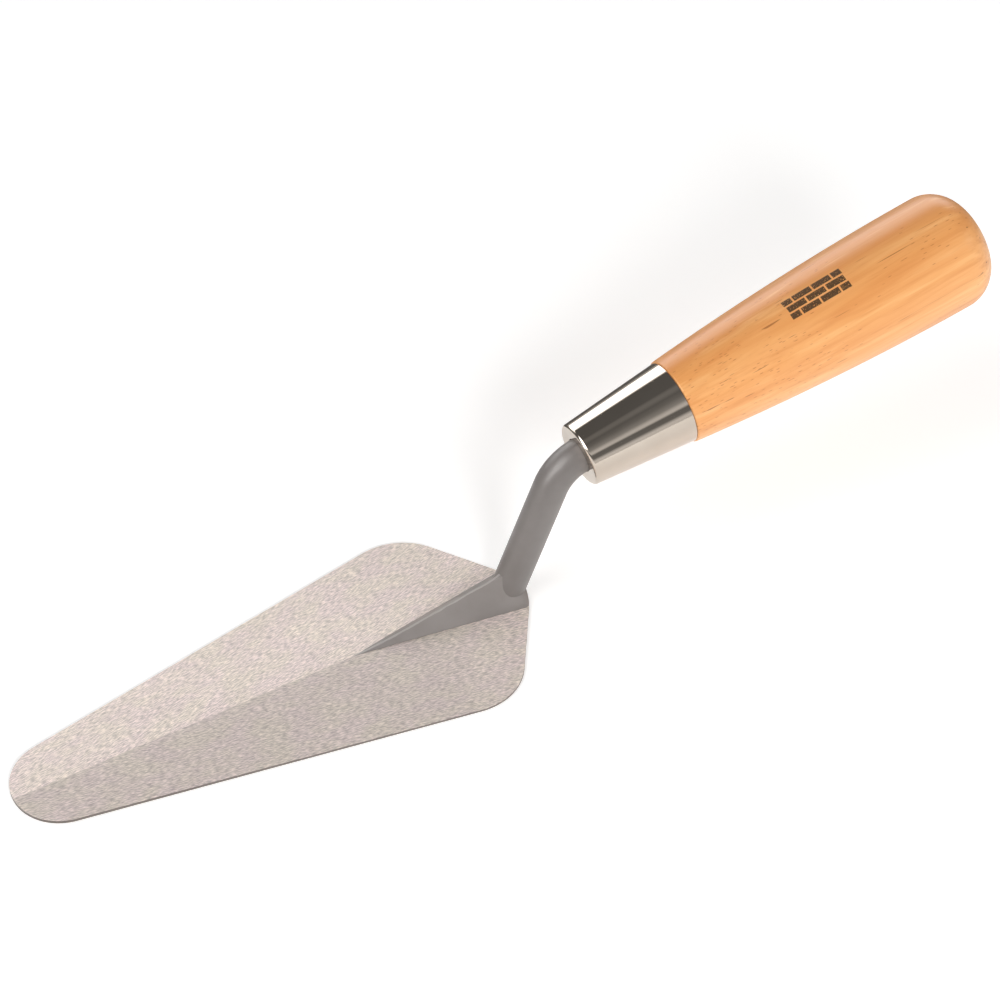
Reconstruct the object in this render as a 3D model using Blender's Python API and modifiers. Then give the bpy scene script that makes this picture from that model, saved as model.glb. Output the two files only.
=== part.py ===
"""Gauging trowel with a ground steel blade, a painted gooseneck and a turned wood handle.

Frame: the blade's flat underside lies on z = 0, its tip points to -X and the handle rises to +X.
The tool is symmetric about y = 0. Everything is laid out from the middle of the blade's heel, and
the empty trowel_origin then shifts it so that the middle of the footprint is at x = 0.
"""
import math

import bmesh
import bpy
from mathutils import Matrix, Vector

MM = 0.001
FIT_GAP = 0.3 * MM             # clearance between pieces that touch on the real tool
MERGE = 0.01 * MM

# Facets of the curved pieces
ROUND_STEPS = 40               # around the ferrule and the handle
BAR_SIDES = 24                 # around the neck, its bore and the adhesive
BEND_STEPS = 12
TIP_STEPS = 12
SHOULDER_STEPS = 14
HEEL_STEPS = 6
FOOT_STEPS = 12
FOOT_FACE_STEPS = 3            # across each hollow side face of the foot
TAPER_STEPS = 12

# Blade: a plate with a shallow roof, thickest along its middle ridge
BLADE_LENGTH = 178 * MM        # rounded tip to the heel corners
BLADE_WIDTH = 80.6 * MM        # across the shoulders
TIP_RADIUS = 16.8 * MM
SHOULDER_RADIUS = 20.6 * MM
SHOULDER_SETBACK = 31.6 * MM   # heel corners to the centres of the shoulder arcs
HEEL_WIDTH = 18.8 * MM         # between the heel corners
HEEL_BULGE = 2.7 * MM          # how far the heel's arc stands out past its corners
RIDGE_HEIGHT = 1.5 * MM
EDGE_THICKNESS = 0.9 * MM      # at the shoulders
PLANE_MARGIN = 18 * MM         # how far the planing cutters reach past the blade

# Foot: the spine that carries the neck, a wedge that grows from a point on the ridge
FOOT_LENGTH = 60.0 * MM        # its point to the heel corners
FOOT_RISE = 9.6 * MM           # of its crest over the ridge, at the heel corners
FOOT_START_POWER = 1.6         # how gently the crest leaves the ridge
FOOT_END_POWER = 1.7           # how early it levels out towards the neck
HEEL_DROP = 5.4 * MM           # how far the crest falls again behind the neck
HEEL_DROP_START = -4.0 * MM    # where it starts to fall, from the heel corners
FOOT_POINT_CREST = 0.5 * MM    # width of the sharp crest at the point
FOOT_NECK_CREST = 3.1 * MM     # and at the heel corners, around the neck
CREST_SPREAD_POWER = 8         # how late the crest widens
FOOT_HOLLOW = 0.6              # how hollow the side faces are at the heel; 0 is flat
FOOT_SIDE_WALL = 0.4 * MM      # upright strip along the foot's lower edge
FOOT_BLUNT_POINT = 0.3 * MM    # half the width of its cut-off point
LEAST_RISE = 0.1 * MM          # of the crest over the side walls, at the point

# Neck: a round bar that leans back from the foot and bends into the handle's axis
NECK_RADIUS = 5.7 * MM
NECK_ANGLE = math.radians(67.7)
NECK_BASE_SETBACK = 4.1 * MM   # heel corners to where the neck's axis meets the underside
NECK_STRAIGHT = 45.3 * MM      # from the underside to the start of the bend, along the axis
NECK_SEAT_HEIGHT = 4.2 * MM    # the bar's lower end, inside the foot
BEND_RADIUS = 15.0 * MM        # of the bar's axis
TANG_WIDTH = 7.0 * MM          # square tang, hidden in the handle
TANG_END_WIDTH = 3.6 * MM
TANG_LENGTH = 72 * MM
TANG_OVERLAP = 3 * MM          # how far it starts inside the bar it is joined to

# Ferrule: a pressed steel cup around the front of the wood
HANDLE_TILT = math.radians(10.7)
FERRULE_LENGTH = 36.3 * MM
FERRULE_REACH = 0.8 * MM       # its front stands this far forward of the end of the bend
FERRULE_FRONT_RADIUS = 10.9 * MM
FERRULE_BACK_RADIUS = 14.2 * MM
FERRULE_WALL = 1.2 * MM
FERRULE_EDGE_RADIUS = 1.4 * MM
FERRULE_HOLE_RADIUS = 7.0 * MM

# Handle: turned wood behind the ferrule, with a tenon inside it
WOOD_LENGTH = 118.8 * MM       # the visible wood
SHOULDER_STEP = 0.4 * MM       # the wood stands this much proud of the ferrule
GRIP_RADIUS = 20.2 * MM        # largest
SWELL_POWER = 1.9              # how early the taper reaches its largest radius
END_ROUNDING = 12.0 * MM
BUTT_DOME = 2.0 * MM
BORE_RADIUS = 6.3 * MM         # the drilled hole for the tang
BORE_DEPTH = 80 * MM

BLADE_HALF = BLADE_WIDTH / 2
HEEL_HALF = HEEL_WIDTH / 2
ROOF_SLOPE = (RIDGE_HEIGHT - EDGE_THICKNESS) / BLADE_HALF
HEEL_ARC_RADIUS = (HEEL_HALF ** 2 + HEEL_BULGE ** 2) / (2 * HEEL_BULGE)

NECK_DIRECTION = Vector((math.cos(NECK_ANGLE), 0, math.sin(NECK_ANGLE)))
HANDLE_DIRECTION = Vector((math.cos(HANDLE_TILT), 0, math.sin(HANDLE_TILT)))
NECK_BASE = Vector((-NECK_BASE_SETBACK, 0, 0))
BEND_START = NECK_BASE + NECK_DIRECTION * NECK_STRAIGHT
BEND_CENTRE = BEND_START + Vector((NECK_DIRECTION.z, 0, -NECK_DIRECTION.x)) * BEND_RADIUS
BEND_END = BEND_CENTRE + Vector((-HANDLE_DIRECTION.z, 0, HANDLE_DIRECTION.x)) * BEND_RADIUS
FERRULE_FRONT = BEND_END - HANDLE_DIRECTION * FERRULE_REACH

SHOULDER_RADIUS_WOOD = FERRULE_BACK_RADIUS + SHOULDER_STEP
TENON_FRONT = FERRULE_WALL + FIT_GAP


def arc(centre, radius, start, end, count):
    """Points of an arc in a plane, both ends included."""
    angles = [start + (end - start) * i / count for i in range(count + 1)]
    return [(centre[0] + radius * math.cos(a), centre[1] + radius * math.sin(a)) for a in angles]


def heel_arc(count):
    """The blade's and the foot's heel, from the middle round to the +Y corner."""
    centre_x = HEEL_BULGE - HEEL_ARC_RADIUS
    reach = math.asin(HEEL_HALF / HEEL_ARC_RADIUS)
    return arc((centre_x, 0), HEEL_ARC_RADIUS, 0, reach, count)


def blade_outline():
    """The blade's plan, a closed loop of points, anticlockwise from the middle of the heel."""
    tip = Vector((TIP_RADIUS - BLADE_LENGTH, 0))
    shoulder = Vector((-SHOULDER_SETBACK, BLADE_HALF - SHOULDER_RADIUS))
    along = shoulder - tip
    edge_angle = math.atan2(along.y, along.x) + math.acos((TIP_RADIUS - SHOULDER_RADIUS) / along.length)
    corner = Vector((0, HEEL_HALF)) - shoulder
    heel_angle = math.atan2(corner.y, corner.x) + math.acos(SHOULDER_RADIUS / corner.length)
    half = heel_arc(HEEL_STEPS)
    half += arc(shoulder, SHOULDER_RADIUS, heel_angle, edge_angle, SHOULDER_STEPS)
    half += arc(tip, TIP_RADIUS, edge_angle, math.pi, TIP_STEPS)
    other_half = [(x, -y) for x, y in reversed(half[1:-1])]
    return half + other_half


def roof_height(y):
    """Height of the blade's upper face."""
    return RIDGE_HEIGHT - ROOF_SLOPE * abs(y)


def wood_radius(distance):
    """Radius of the wood's long taper, by the distance from its shoulder."""
    share = distance / (WOOD_LENGTH - END_ROUNDING)
    return SHOULDER_RADIUS_WOOD + (GRIP_RADIUS - SHOULDER_RADIUS_WOOD) * (1 - (1 - share) ** SWELL_POWER)


def wood_outline():
    """Outside of the wood as (radius, distance from the ferrule's front), butt to shoulder."""
    butt_radius = GRIP_RADIUS - END_ROUNDING
    round_start = WOOD_LENGTH - END_ROUNDING - BUTT_DOME
    dome = [(butt_radius * r, WOOD_LENGTH - BUTT_DOME * r ** 2) for r in (0, 0.35, 0.7)]
    rounding = [
        (butt_radius + END_ROUNDING * math.sin(a), round_start + END_ROUNDING * math.cos(a))
        for a in (math.radians(15 * i) for i in range(7))
    ]
    taper = [
        (wood_radius(d), d)
        for d in (round_start * (TAPER_STEPS - i) / TAPER_STEPS for i in range(1, TAPER_STEPS + 1))
    ]
    return [(r, FERRULE_LENGTH + d) for r, d in dome + rounding + taper]


def footprint_centre():
    """Middle of the tool's length, by the distance from the heel corners."""
    butt = max(
        FERRULE_FRONT.x + d * HANDLE_DIRECTION.x + r * HANDLE_DIRECTION.z for r, d in wood_outline()
    )
    return (butt - BLADE_LENGTH) / 2


# ---------------------------------------------------------------- scene, materials and helpers

def clear_scene():
    for item in list(bpy.data.objects):
        bpy.data.objects.remove(item, do_unlink=True)


def new_collection(name):
    collection = bpy.data.collections.new(name)
    bpy.context.scene.collection.children.link(collection)
    return collection


def principled(name, colour, roughness, metallic):
    material = bpy.data.materials.new(name)
    material.use_nodes = True
    shader = material.node_tree.nodes["Principled BSDF"]
    shader.inputs["Base Color"].default_value = (*colour, 1)
    shader.inputs["Roughness"].default_value = roughness
    shader.inputs["Metallic"].default_value = metallic
    return material


def place(name, mesh, collection, material=None, matrix=None):
    """Links a mesh as a named object under the trowel's origin."""
    item = bpy.data.objects.new(name, mesh)
    collection.objects.link(item)
    item.parent = bpy.data.objects["trowel_origin"]
    if matrix is not None:
        item.matrix_local = matrix
    if material is not None:
        mesh.materials.append(material)
        mesh.shade_smooth()
        mesh.set_sharp_from_angle(angle=math.radians(30))
    return item


def cutter(name, mesh, matrix=None):
    item = place(name, mesh, bpy.data.collections["cutters"], matrix=matrix)
    item.hide_render = True
    item.display_type = "WIRE"
    return item


def boolean(target, other, operation):
    modifier = target.modifiers.new(f"{operation.lower()}_{other.name}", "BOOLEAN")
    modifier.operation = operation
    modifier.solver = "EXACT"
    modifier.object = other


def mesh_from_bmesh(name, source):
    mesh = bpy.data.meshes.new(name)
    source.to_mesh(mesh)
    source.free()
    return mesh


def box_mesh(name, low, high):
    source = bmesh.new()
    bmesh.ops.create_cube(source, size=1)
    size = Vector(high) - Vector(low)
    middle = (Vector(high) + Vector(low)) / 2
    bmesh.ops.scale(source, vec=size, verts=source.verts)
    bmesh.ops.translate(source, vec=middle, verts=source.verts)
    return mesh_from_bmesh(name, source)


def cone_mesh(name, sides, near_radius, far_radius, start, end):
    """A cone or bar along local Z from start to end."""
    source = bmesh.new()
    bmesh.ops.create_cone(
        source, cap_ends=True, segments=sides, radius1=near_radius, radius2=far_radius, depth=end - start)
    bmesh.ops.translate(source, vec=(0, 0, (start + end) / 2), verts=source.verts)
    return mesh_from_bmesh(name, source)


def cut_below(mesh, height):
    """Cuts a closed mesh off flat at a height and closes the cut."""
    source = bmesh.new()
    source.from_mesh(mesh)
    everything = source.verts[:] + source.edges[:] + source.faces[:]
    bmesh.ops.bisect_plane(
        source, geom=everything, plane_co=(0, 0, height), plane_no=(0, 0, -1), clear_outer=True)
    open_edges = [edge for edge in source.edges if edge.is_boundary]
    bmesh.ops.holes_fill(source, edges=open_edges)
    bmesh.ops.recalc_face_normals(source, faces=source.faces)
    source.to_mesh(mesh)
    source.free()


def axis_matrix(origin, direction):
    """Places local Z along a direction in the XZ plane."""
    turn = Matrix.Rotation(math.atan2(direction.x, direction.z), 4, "Y")
    return Matrix.Translation(origin) @ turn


def turned(name, profile, closed, material, matrix):
    """A turned piece: a (radius, height) profile, top to bottom on its outer side, and a Screw."""
    count = len(profile)
    edges = [(i, i + 1) for i in range(count - 1)]
    if closed:
        edges.append((count - 1, 0))
    mesh = bpy.data.meshes.new(name)
    mesh.from_pydata([(r, 0, z) for r, z in profile], edges, [])
    item = place(name, mesh, bpy.data.collections["gauging_trowel"], material, matrix)
    screw = item.modifiers.new("turn", "SCREW")
    screw.axis = "Z"
    screw.steps = ROUND_STEPS
    screw.render_steps = ROUND_STEPS
    screw.use_merge_vertices = True
    screw.merge_threshold = MERGE
    screw.use_smooth_shade = True
    return item


# ---------------------------------------------------------------------------------- the pieces

def make_blade(material):
    """Flat outline extruded to the ridge's height, then planed down to a roof on both sides."""
    outline = bpy.data.curves.new("blade_outline", "CURVE")
    outline.dimensions = "2D"
    outline.fill_mode = "BOTH"
    outline.extrude = RIDGE_HEIGHT / 2
    points = blade_outline()
    spline = outline.splines.new("POLY")
    spline.points.add(len(points) - 1)
    for point, (x, y) in zip(spline.points, points):
        point.co = (x, y, 0, 1)
    spline.use_cyclic_u = True
    guide = bpy.data.objects.new("blade_outline", outline)
    bpy.context.scene.collection.objects.link(guide)
    flat = bpy.data.meshes.new_from_object(guide.evaluated_get(bpy.context.evaluated_depsgraph_get()))
    bpy.data.objects.remove(guide, do_unlink=True)
    plate = bmesh.new()
    plate.from_mesh(flat)
    bmesh.ops.remove_doubles(plate, verts=plate.verts, dist=MERGE)
    bmesh.ops.translate(plate, vec=(0, 0, RIDGE_HEIGHT / 2), verts=plate.verts)
    bmesh.ops.dissolve_limit(
        plate, angle_limit=math.radians(0.5), verts=plate.verts, edges=plate.edges)
    mesh = mesh_from_bmesh("blade", plate)
    blade = place("blade", mesh, bpy.data.collections["gauging_trowel"], material)
    for side, name in ((1, "plane_left"), (-1, "plane_right")):
        far_edge = side * BLADE_WIDTH
        low = (-BLADE_LENGTH - PLANE_MARGIN, min(0, far_edge), 0)
        high = (PLANE_MARGIN, max(0, far_edge), PLANE_MARGIN)
        tilt = Matrix.Rotation(-side * math.atan(ROOF_SLOPE), 4, "X")
        lift = Matrix.Translation((0, 0, RIDGE_HEIGHT))
        boolean(blade, cutter(name, box_mesh(name, low, high), lift @ tilt), "DIFFERENCE")
    return blade


def crest_height(x):
    """Height of the foot's crest: gentle at the point, steep, level at the neck, low behind it."""
    share = min(1, (x + FOOT_LENGTH) / FOOT_LENGTH)
    rise = FOOT_RISE * (1 - (1 - share ** FOOT_START_POWER) ** FOOT_END_POWER)
    behind = max(0, (x - HEEL_DROP_START) / (HEEL_BULGE - HEEL_DROP_START))
    return RIDGE_HEIGHT + FIT_GAP + rise - HEEL_DROP * behind


def foot_section(x, half_width):
    """One section of the foot: a sharp crest over two hollow side faces and two low walls."""
    share = min(1, (x + FOOT_LENGTH) / FOOT_LENGTH)
    full_half = HEEL_HALF * share
    seat = roof_height(half_width) + FIT_GAP
    wall_top = roof_height(full_half) + FIT_GAP + FOOT_SIDE_WALL
    crest = max(crest_height(x), wall_top + LEAST_RISE)
    spread = share ** CREST_SPREAD_POWER
    crest_width = FOOT_POINT_CREST + (FOOT_NECK_CREST - FOOT_POINT_CREST) * spread
    crest_half = min(crest_width, half_width) / 2
    hollow = 1 + FOOT_HOLLOW * share ** 2
    right = [(half_width, seat)]
    for i in range(FOOT_FACE_STEPS + 1):
        y = half_width + (crest_half - half_width) * i / FOOT_FACE_STEPS
        climb = max(0, min(1, (full_half - y) / max(full_half - crest_half, MERGE)))
        right.append((y, wall_top + (crest - wall_top) * climb ** hollow))
    left = [(-y, z) for y, z in reversed(right)]
    return [(x, y, z) for y, z in right + left + [(0, RIDGE_HEIGHT + FIT_GAP)]]


def make_foot(material, bore):
    """Loft of sections along the ridge, rounded in plan at the heel, and bored for the neck."""
    start = -FOOT_LENGTH + FOOT_BLUNT_POINT * FOOT_LENGTH / HEEL_HALF
    stations = []
    for i in range(FOOT_STEPS + 1):
        x = start * (1 - i / FOOT_STEPS)
        stations.append((x, HEEL_HALF * (x + FOOT_LENGTH) / FOOT_LENGTH))
    stations += list(reversed(heel_arc(HEEL_STEPS)[1:-1]))
    source = bmesh.new()
    rings = [[source.verts.new(p) for p in foot_section(x, half)] for x, half in stations]
    count = len(rings[0])
    for near, far in zip(rings, rings[1:]):
        for i in range(count):
            j = (i + 1) % count
            source.faces.new((near[i], near[j], far[j], far[i]))
    source.faces.new(rings[0])
    source.faces.new(rings[-1])
    bmesh.ops.recalc_face_normals(source, faces=source.faces)
    mesh = mesh_from_bmesh("foot", source)
    foot = place("foot", mesh, bpy.data.collections["gauging_trowel"], material)
    boolean(foot, bore, "DIFFERENCE")
    return foot


def neck_path():
    """The bar's axis, from below its seat to the inside of the ferrule."""
    turn_start = NECK_ANGLE + math.pi / 2
    turn_end = HANDLE_TILT + math.pi / 2
    bend = arc((BEND_CENTRE.x, BEND_CENTRE.z), BEND_RADIUS, turn_start, turn_end, BEND_STEPS)
    end = FERRULE_FRONT + HANDLE_DIRECTION * FERRULE_WALL
    return [NECK_BASE] + [Vector((x, 0, z)) for x, z in bend] + [end]


def make_neck(material):
    """Round bar along the neck's path, cut flat at its seat, with the square tang joined on."""
    path = bpy.data.curves.new("neck_path", "CURVE")
    path.dimensions = "3D"
    path.bevel_depth = NECK_RADIUS
    path.bevel_resolution = (BAR_SIDES - 4) // 2
    path.use_fill_caps = True
    points = neck_path()
    spline = path.splines.new("POLY")
    spline.points.add(len(points) - 1)
    for point, place_on_path in zip(spline.points, points):
        point.co = (*place_on_path, 1)
    guide = bpy.data.objects.new("neck_path", path)
    bpy.context.scene.collection.objects.link(guide)
    mesh = bpy.data.meshes.new_from_object(guide.evaluated_get(bpy.context.evaluated_depsgraph_get()))
    bpy.data.objects.remove(guide, do_unlink=True)
    mesh.name = "neck"
    bar = bmesh.new()
    bar.from_mesh(mesh)
    bmesh.ops.remove_doubles(bar, verts=bar.verts, dist=MERGE)
    bar.to_mesh(mesh)
    bar.free()
    cut_below(mesh, NECK_SEAT_HEIGHT)
    neck = place("neck", mesh, bpy.data.collections["gauging_trowel"], material)
    boolean(neck, tang_cutter("tang", 0), "UNION")
    return neck


def tang_cutter(name, clearance):
    """The square tang, which starts inside the bar, grown by a clearance on every side."""
    half_diagonal = math.sqrt(0.5)
    start = FERRULE_WALL - TANG_OVERLAP
    end = TENON_FRONT + TANG_LENGTH + clearance
    near = (TANG_WIDTH + 2 * clearance) * half_diagonal
    far = (TANG_END_WIDTH + 2 * clearance) * half_diagonal
    mesh = cone_mesh(name, 4, near, far, start, end)
    quarter_turn = Matrix.Rotation(math.radians(45), 4, "Z")
    return cutter(name, mesh, axis_matrix(FERRULE_FRONT, HANDLE_DIRECTION) @ quarter_turn)


def make_ferrule(material):
    """Pressed cup: a cone with a rolled front edge and a round hole for the neck."""
    taper = (FERRULE_BACK_RADIUS - FERRULE_FRONT_RADIUS) / FERRULE_LENGTH
    edge = FERRULE_EDGE_RADIUS
    corner = arc((FERRULE_FRONT_RADIUS - edge, edge), edge, 0, -math.pi / 2, 5)
    inner_front = FERRULE_FRONT_RADIUS + taper * FERRULE_WALL - FERRULE_WALL
    profile = [(FERRULE_BACK_RADIUS, FERRULE_LENGTH - FIT_GAP)]
    profile += corner
    profile += [
        (FERRULE_HOLE_RADIUS, 0),
        (FERRULE_HOLE_RADIUS, FERRULE_WALL),
        (inner_front, FERRULE_WALL),
        (FERRULE_BACK_RADIUS - FERRULE_WALL, FERRULE_LENGTH - FIT_GAP),
    ]
    return turned("ferrule", profile, True, material, axis_matrix(FERRULE_FRONT, HANDLE_DIRECTION))


def make_handle(material):
    """Turned grip with a shoulder, a tapered tenon inside the ferrule and a blind bore."""
    sleeve = FERRULE_WALL + FIT_GAP
    profile = wood_outline()
    profile += [
        (FERRULE_BACK_RADIUS - sleeve, FERRULE_LENGTH),
        (FERRULE_FRONT_RADIUS - sleeve, TENON_FRONT),
        (BORE_RADIUS, TENON_FRONT),
        (BORE_RADIUS, TENON_FRONT + BORE_DEPTH),
        (0, TENON_FRONT + BORE_DEPTH),
    ]
    return turned("handle", profile, False, material, axis_matrix(FERRULE_FRONT, HANDLE_DIRECTION))


def make_adhesive(material):
    """Cured adhesive that fills the bore around the tang."""
    start = TENON_FRONT + FIT_GAP
    end = TENON_FRONT + BORE_DEPTH - FIT_GAP
    radius = BORE_RADIUS - FIT_GAP
    mesh = cone_mesh("tang_adhesive", BAR_SIDES, radius, radius, start, end)
    matrix = axis_matrix(FERRULE_FRONT, HANDLE_DIRECTION)
    sleeve = place("tang_adhesive", mesh, bpy.data.collections["gauging_trowel"], material, matrix)
    boolean(sleeve, tang_cutter("tang_clearance", FIT_GAP), "DIFFERENCE")
    return sleeve


def make_neck_bore():
    """Cutter for the hole in the foot: the neck's bar grown by the clearance."""
    radius = NECK_RADIUS + FIT_GAP
    mesh = cone_mesh("neck_bore", BAR_SIDES, radius, radius, 0, NECK_STRAIGHT)
    mesh.transform(axis_matrix(NECK_BASE, NECK_DIRECTION))
    cut_below(mesh, NECK_SEAT_HEIGHT - FIT_GAP)
    return cutter("neck_bore", mesh)


def main():
    clear_scene()
    parts = new_collection("gauging_trowel")
    new_collection("cutters")
    origin = bpy.data.objects.new("trowel_origin", None)
    origin.location.x = -footprint_centre()
    parts.objects.link(origin)

    ground_steel = principled("ground_steel", (0.58, 0.53, 0.50), 0.38, 1.0)
    grey_paint = principled("grey_paint", (0.26, 0.25, 0.24), 0.42, 0.0)
    polished_steel = principled("polished_steel", (0.72, 0.70, 0.68), 0.08, 1.0)
    lacquered_wood = principled("lacquered_wood", (0.90, 0.47, 0.17), 0.35, 0.0)
    epoxy = principled("epoxy", (0.55, 0.45, 0.28), 0.3, 0.0)

    make_blade(ground_steel)
    make_foot(grey_paint, make_neck_bore())
    make_neck(grey_paint)
    make_ferrule(polished_steel)
    make_handle(lacquered_wood)
    make_adhesive(epoxy)


main()
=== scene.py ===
"""Looks of the trowel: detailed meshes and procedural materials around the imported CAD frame.

Frame: the blade's flat underside is on z = 0, its tip points to -X and the handle rises to +X.
Shapes are laid out from the middle of the blade's heel, then shifted by heel_x into the frame.
"""

import math

import bmesh
import bpy
from mathutils import Matrix, Vector


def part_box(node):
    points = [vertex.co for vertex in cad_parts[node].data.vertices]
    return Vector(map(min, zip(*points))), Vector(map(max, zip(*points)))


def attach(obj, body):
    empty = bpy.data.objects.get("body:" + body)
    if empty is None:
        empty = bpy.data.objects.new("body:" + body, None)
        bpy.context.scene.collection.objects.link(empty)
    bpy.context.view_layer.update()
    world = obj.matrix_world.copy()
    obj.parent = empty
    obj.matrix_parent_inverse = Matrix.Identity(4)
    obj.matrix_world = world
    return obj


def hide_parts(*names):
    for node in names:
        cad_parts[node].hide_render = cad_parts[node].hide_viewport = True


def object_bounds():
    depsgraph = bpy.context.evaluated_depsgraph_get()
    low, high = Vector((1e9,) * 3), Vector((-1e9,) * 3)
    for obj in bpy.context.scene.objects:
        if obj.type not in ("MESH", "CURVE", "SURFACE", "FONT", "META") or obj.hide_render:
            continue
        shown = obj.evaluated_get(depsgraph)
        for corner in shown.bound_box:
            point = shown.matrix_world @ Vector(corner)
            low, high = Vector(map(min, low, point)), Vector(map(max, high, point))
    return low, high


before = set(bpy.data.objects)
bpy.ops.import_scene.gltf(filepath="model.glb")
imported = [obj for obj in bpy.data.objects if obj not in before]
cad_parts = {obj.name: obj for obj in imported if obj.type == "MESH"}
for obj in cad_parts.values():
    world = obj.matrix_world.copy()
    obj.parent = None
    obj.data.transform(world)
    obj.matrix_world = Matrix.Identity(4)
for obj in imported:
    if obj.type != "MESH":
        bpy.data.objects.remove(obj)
cad_low, cad_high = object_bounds()

MM = 0.001
TURN_SEGMENTS = 192            # around the ferrule and the handle
TURN_SHARP_ANGLE = 35          # degrees; their steeper edges are shaded sharp

# Blade
BLADE_LENGTH = 178 * MM
BLADE_HALF = 40.3 * MM
TIP_RADIUS = 16.8 * MM
SHOULDER_RADIUS = 20.6 * MM
SHOULDER_SETBACK = 31.6 * MM
HEEL_HALF = 9.4 * MM
HEEL_BULGE = 2.7 * MM
RIDGE_HEIGHT = 1.5 * MM
EDGE_THICKNESS = 0.9 * MM
EDGE_BEVEL = 0.12 * MM
HEEL_ARC_RADIUS = (HEEL_HALF ** 2 + HEEL_BULGE ** 2) / (2 * HEEL_BULGE)
ROOF_SLOPE = (RIDGE_HEIGHT - EDGE_THICKNESS) / BLADE_HALF
GRIND_ANGLE = math.radians(-8.8)  # of the grinding strokes to the blade's length

# Foot
FOOT_LENGTH = 60.0 * MM
FOOT_RISE = 9.2 * MM           # of its crest over the ridge, at the heel corners
FOOT_START_POWER = 1.6         # how gently the crest leaves the ridge
FOOT_END_POWER = 1.7           # how early it levels out towards the neck
FOOT_POINT_INSET = 0.6 * MM     # how far behind its ideal point the foot is cut off
FOOT_POINT_HALF = 0.09 * MM    # half its width there
FOOT_CREST_HALF = 0.12 * MM
FOOT_CREST_SOFT = 0.45 * MM    # rounding of the crest
GUSSET_START = -9.5 * MM       # where the crest starts to widen and climb in front of the neck
GUSSET_END = -5.0 * MM
GUSSET_RISE = 0.9 * MM
GUSSET_HALF = 1.55 * MM
HEEL_DROP = 7.4 * MM           # how far the crest falls again behind the neck
HEEL_DROP_START = -3.5 * MM     # where it starts to fall, from the heel corners
HOLLOW_START = -34 * MM        # where the side faces start to be hollow
HOLLOW_END = -8 * MM
HOLLOW_POWER = 0.6             # how hollow they get; 0 is flat
FOOT_SIDE_WALL = 0.35 * MM     # upright strip along the foot's lower edge
FOOT_FACE_STEPS = 10           # across each side face
FOOT_SINK = 0.2 * MM           # how far the foot reaches into the blade
FOOT_CORNER_RADIUS = 1.8 * MM  # of the foot's heel corners, in plan
FOOT_SEAM = 0.12 * MM          # shadow groove between the foot and the blade

# Neck
NECK_RADIUS = 5.7 * MM
NECK_ANGLE = math.radians(67.7)
NECK_BASE = Vector((-4.1 * MM, 0, 0))
NECK_STRAIGHT = 45.3 * MM
NECK_START = 3.4 * MM          # its end inside the foot, along the axis
BEND_RADIUS = 15.0 * MM
TANG_WIDTH = 7.0 * MM
TANG_END_WIDTH = 3.6 * MM
TANG_END = 73.5 * MM

# Ferrule
HANDLE_TILT = math.radians(10.7)
FERRULE_REACH = 0.8 * MM
FERRULE_LENGTH = 36.3 * MM
FERRULE_FRONT_RADIUS = 10.9 * MM
FERRULE_BACK_RADIUS = 14.2 * MM
FERRULE_WALL = 1.2 * MM
FERRULE_EDGE_RADIUS = 1.1 * MM
FERRULE_HOLE_RADIUS = 5.85 * MM

# Handle
WOOD_LENGTH = 118.8 * MM
SHOULDER_STEP = 0.4 * MM
GRIP_RADIUS = 20.2 * MM
SWELL_POWER = 1.9
END_ROUNDING = 12.0 * MM
BUTT_DOME = 2.0 * MM
BORE_RADIUS = 6.3 * MM
BORE_DEPTH = 80 * MM
SLEEVE = FERRULE_WALL + 0.3 * MM  # the ferrule's wall and the gap between it and the tenon
WOOD_SHOULDER_RADIUS = FERRULE_BACK_RADIUS + SHOULDER_STEP
MARK_DISTANCE = 90.5 * MM      # middle of the printed mark, from the ferrule's front
MARK_TURN = math.radians(76)   # and round the grip, from the near side towards the top
MARK_LENGTH = 22.5 * MM
MARK_WIDTH = 9 * MM
PITH_X = 0.031                 # the growth rings' centre, off the grip's axis
PITH_Y = 0.012
PITH_LEAN = 0.06               # how much the rings' centre leans along the grip
RING_WARP = 0.005
RING_WIDTH = 0.0032

NECK_DIRECTION = Vector((math.cos(NECK_ANGLE), 0, math.sin(NECK_ANGLE)))
HANDLE_DIRECTION = Vector((math.cos(HANDLE_TILT), 0, math.sin(HANDLE_TILT)))
BEND_START = NECK_BASE + NECK_DIRECTION * NECK_STRAIGHT
BEND_CENTRE = BEND_START + Vector((NECK_DIRECTION.z, 0, -NECK_DIRECTION.x)) * BEND_RADIUS
BEND_END = BEND_CENTRE + Vector((-HANDLE_DIRECTION.z, 0, HANDLE_DIRECTION.x)) * BEND_RADIUS
FERRULE_FRONT = BEND_END - HANDLE_DIRECTION * FERRULE_REACH

# Camera, at the photograph's viewing angle
CAMERA_AZIMUTH = math.radians(-30.04)
CAMERA_ELEVATION = math.radians(44.67)
CAMERA_DISTANCE = 920.22 * MM
CAMERA_LENS = 104.4
CAMERA_TARGET = Vector((-5.57 * MM, 0, 45.18 * MM))

# Studio. Band angles are in degrees from the -Y horizon over the top to the +Y horizon.
SOFTBOX_LIGHT = 3.4
SIDE_BOX_LIGHT = 8.0
WORLD_BANDS = [
    (0, 0.85), (7, 0.80), (15, 0.20), (27, 0.18), (32, 0.75), (37, 0.70), (44, 0.36), (58, 0.20),
    (70, 0.15), (78, 0.22), (84, 0.22), (91, 0.13), (172, 0.12), (180, 0.12),
]
FLOOR_HALF = 4.0
FLOOR_GAP = 0.0002             # the floor lies this far under the blade
CARD_NEAR = 0.10               # the dark card, from the tool's middle plane
CARD_FAR = 1.2
CARD_HALF = 1.2
LIGHT_TARGET = Vector((0, 0, 0.03))

heel_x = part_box("blade")[0].x + BLADE_LENGTH
heel = Vector((heel_x, 0, 0))


# --------------------------------------------------------------------------------- mesh helpers

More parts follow.
